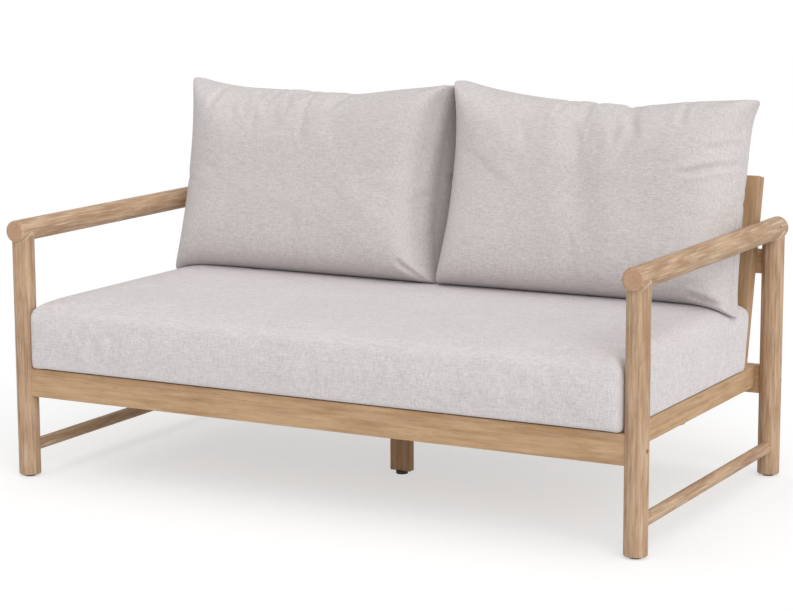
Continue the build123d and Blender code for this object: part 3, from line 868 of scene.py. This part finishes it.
def kept_off_frame(points, side):
    """Back cushion's points, in the back's plane, kept off the rails, arm and other cushion."""
    points[:, 2] = np.maximum(points[:, 2], back_rail_forward + pillow_rail_gap)
    beside_arm = (points[:, 1] > arm_span_up[0]) & (points[:, 1] < arm_span_up[1])
    widest = np.where(beside_arm, pillow_arm_side, pillow_widest)
    points[:, 0] = np.clip(points[:, 0] * side, pillow_neighbour_gap, widest) * side
    return points


def laid_on_seat(points, seat_tree):
    """Points lifted where they would sink into the seat cushion."""
    down = Vector((0, 0, -1))
    for number, point in enumerate(points):
        if point[2] < seat_height + seat_edge_height + seat_search_height:
            hit = seat_tree.ray_cast(Vector((point[0], point[1], search_start_height)), down)[0]
            if hit is not None:
                points[number, 2] = max(point[2], hit.z + pillow_rest_gap)
    return points


def seam_along(points):
    """Points and faces of the thin closed welt along a loop of points."""
    ahead = np.roll(points, -1, axis=0) - np.roll(points, 1, axis=0)
    ahead /= np.linalg.norm(ahead, axis=1, keepdims=True)
    first = np.cross(ahead, out_of_back)
    first /= np.linalg.norm(first, axis=1, keepdims=True)
    second = np.cross(ahead, first)
    lines = []
    for number in range(seam_sides):
        turn = math.tau * number / seam_sides
        lines.append(points + seam_radius * (math.cos(turn) * first + math.sin(turn) * second))
    shell = np.stack(lines, axis=1)
    count = len(points)
    faces = []
    for i in range(count):
        here, ahead_here = i * seam_sides, (i + 1) % count * seam_sides
        for j in range(seam_sides):
            beside = (j + 1) % seam_sides
            faces.append([here + j, here + beside, ahead_here + beside, ahead_here + j])
    return shell.reshape(-1, 3), faces


def back_cushion(name, side, seat_tree, shape, folds):
    """Back cushion: fibre filling in a linen cover of two panels with a seam round its edge."""
    linen = linen_finish(name + "_linen", (-recline, 0, 0), **shaded_back_threads)
    target, faces, seam_loop = pillow_form(side, **shape)
    start = target * np.array([1, 1, pillow_undersize])
    piece = mesh_piece(name, start, faces, linen)
    swollen = swell(piece, pillow_cloth_growth, pillow_cloth_stiffness)
    shown = np.clip((target[:, 1:2] + pillow_half_height) / pillow_smooth_foot, 0, 1)
    target = target + wrinkles_of(piece, swollen - start, pillow_swell_reach) * shown
    target = folded(target, folds)
    place = np.array([side * pillow_middle_across, pillow_middle_up, pillow_forward])
    target = kept_off_frame(target + place, side)
    target = laid_on_seat(from_back_plane(target), seat_tree)

    # The seam joins the same mesh, so the piece is made anew from both
    seam, seam_faces = seam_along(target[seam_loop])
    seam = laid_on_seat(seam, seat_tree)
    seam_faces = [[corner + len(target) for corner in face] for face in seam_faces]
    points = [tuple(point) for point in np.concatenate([target, seam])]
    piece.data.clear_geometry()
    piece.data.from_pydata(points, [], faces + seam_faces)
    piece.data.update()
    piece.data.shade_smooth()
    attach(piece, name)
    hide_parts(name + "_cover", name + "_filling")
    add_subdivision(piece)


# Folds about each back cushion's middle: two ends across and up, width, depth and ridge height
left_folds = [
    ((-0.240, 0.235), (-0.262, 0.165), 0.010, 0.006, 0.003),
    ((0.112, 0.235), (0.075, 0.180), 0.012, 0.008, 0.004),
    ((0.300, -0.200), (0.345, -0.228), 0.007, 0.006, 0.004),
]
right_folds = [
    ((0.100, 0.235), (0.120, 0.150), 0.012, 0.008, 0.004),
    ((0.225, 0.235), (0.235, 0.175), 0.009, 0.005, 0.003),
    ((0.265, 0.052), (0.345, 0.078), 0.007, 0.008, 0.005),
    ((0.310, 0.110), (0.350, 0.125), 0.006, 0.005, 0.003),
    ((-0.020, 0.200), (0.020, -0.060), 0.035, 0.005, 0.003),
    ((0.285, -0.215), (0.340, -0.228), 0.007, 0.006, 0.005),
]

# What the two differ in. The pairs are for the outer tip and the inner one
left_shape = {
    "tip_reach": 0.009,
    "tip_rises": (-0.003, -0.002),
    "top_powers": (4, 1.8),
    "inner_draw": 0.036,
    "inner_draw_up": -0.15,
}
right_shape = {
    "tip_reach": 0.018,
    "tip_rises": (-0.008, 0.013),
    "top_powers": (1.6, 2),
    "inner_draw": 0.024,
    "inner_draw_up": 0.20,
}

seat = seat_cushion()
seat_tree = BVHTree.FromObject(seat, bpy.context.evaluated_depsgraph_get())
back_cushion("left_back_cushion", -1, seat_tree, left_shape, left_folds)
back_cushion("right_back_cushion", 1, seat_tree, right_shape, right_folds)


# Camera, floor and light

camera_place = (2.530763, -4.686634, 1.31243)
camera_yaw = math.radians(28.4)
camera_pitch = math.radians(-9.831)
camera_roll = math.radians(-0.224)
focal_pixels = 2386.06
photo_width = 793
sensor_width = 36
view_reach = 60
floor_reach = 60
floor_grey = 0.85
floor_seen_grey = 0.50
floor_glow = 0.54
surround_strength = 0.48
white = (1, 1, 1, 1)


def add_camera():
    """Camera where the picture was taken from."""
    data = bpy.data.cameras.new("camera")
    data.sensor_width = sensor_width
    data.lens = focal_pixels / photo_width * sensor_width
    data.clip_end = view_reach
    camera = bpy.data.objects.new("camera", data)
    bpy.context.scene.collection.objects.link(camera)
    level = math.cos(camera_pitch)
    ahead = Vector((-math.sin(camera_yaw) * level, math.cos(camera_yaw) * level,
                    math.sin(camera_pitch)))
    right = Vector((math.cos(camera_yaw), math.sin(camera_yaw), 0))
    up = right.cross(ahead)
    turned_right = right * math.cos(camera_roll) + up * math.sin(camera_roll)
    turned_up = up * math.cos(camera_roll) - right * math.sin(camera_roll)
    matrix = Matrix((turned_right, turned_up, -ahead)).transposed().to_4x4()
    matrix.translation = Vector(camera_place)
    camera.matrix_world = matrix
    bpy.context.scene.camera = camera


def add_floor():
    """Plain white floor that keeps the shadow."""
    material, tree, shader = new_material("studio_floor", 0.9, Specular_IOR_Level=0.0)
    seen = seen_directly(tree)
    tone = summed(tree, floor_grey, (seen, floor_seen_grey - floor_grey))
    wire(tree, shader["Base Color"], grey(tree, tone))
    shader["Emission Color"].default_value = white
    wire(tree, shader["Emission Strength"], maths(tree, "MULTIPLY", seen, floor_glow))
    far = floor_reach
    corners = [(-far, -far, 0), (far, -far, 0), (far, far, 0), (-far, far, 0)]
    mesh = bpy.data.meshes.new("studio_floor")
    mesh.from_pydata(corners, [], [(0, 1, 2, 3)])
    mesh.materials.append(material)
    floor = bpy.data.objects.new("studio_floor", mesh)
    bpy.context.scene.collection.objects.link(floor)


def add_sun(name, towards, strength, spread):
    """Soft even light from one direction. spread is the sun's width in degrees."""
    data = bpy.data.lights.new(name, "SUN")
    data.energy = strength
    data.angle = math.radians(spread)
    lamp = bpy.data.objects.new(name, data)
    bpy.context.scene.collection.objects.link(lamp)
    lamp.rotation_mode = "QUATERNION"
    lamp.rotation_quaternion = Vector(towards).to_track_quat("Z", "Y")


def add_world():
    """White surroundings that light the object less than they show."""
    world = bpy.data.worlds.new("studio")
    world.use_nodes = True
    tree = world.node_tree
    background = tree.nodes["Background"]
    background.inputs["Color"].default_value = white
    strength = summed(tree, surround_strength, (seen_directly(tree), 1 - surround_strength))
    wire(tree, background.inputs["Strength"], strength)
    bpy.context.scene.world = world


add_camera()
add_floor()
add_world()
add_sun("key_light", towards=(0.55, -0.62, 0.56), strength=1.36, spread=45)
add_sun("side_light", towards=(0.97, 0.05, 0.25), strength=0.52, spread=30)
add_sun("top_light", towards=(-0.15, -0.05, 1.0), strength=0.62, spread=60)

bpy.context.scene.view_settings.view_transform = "Standard"
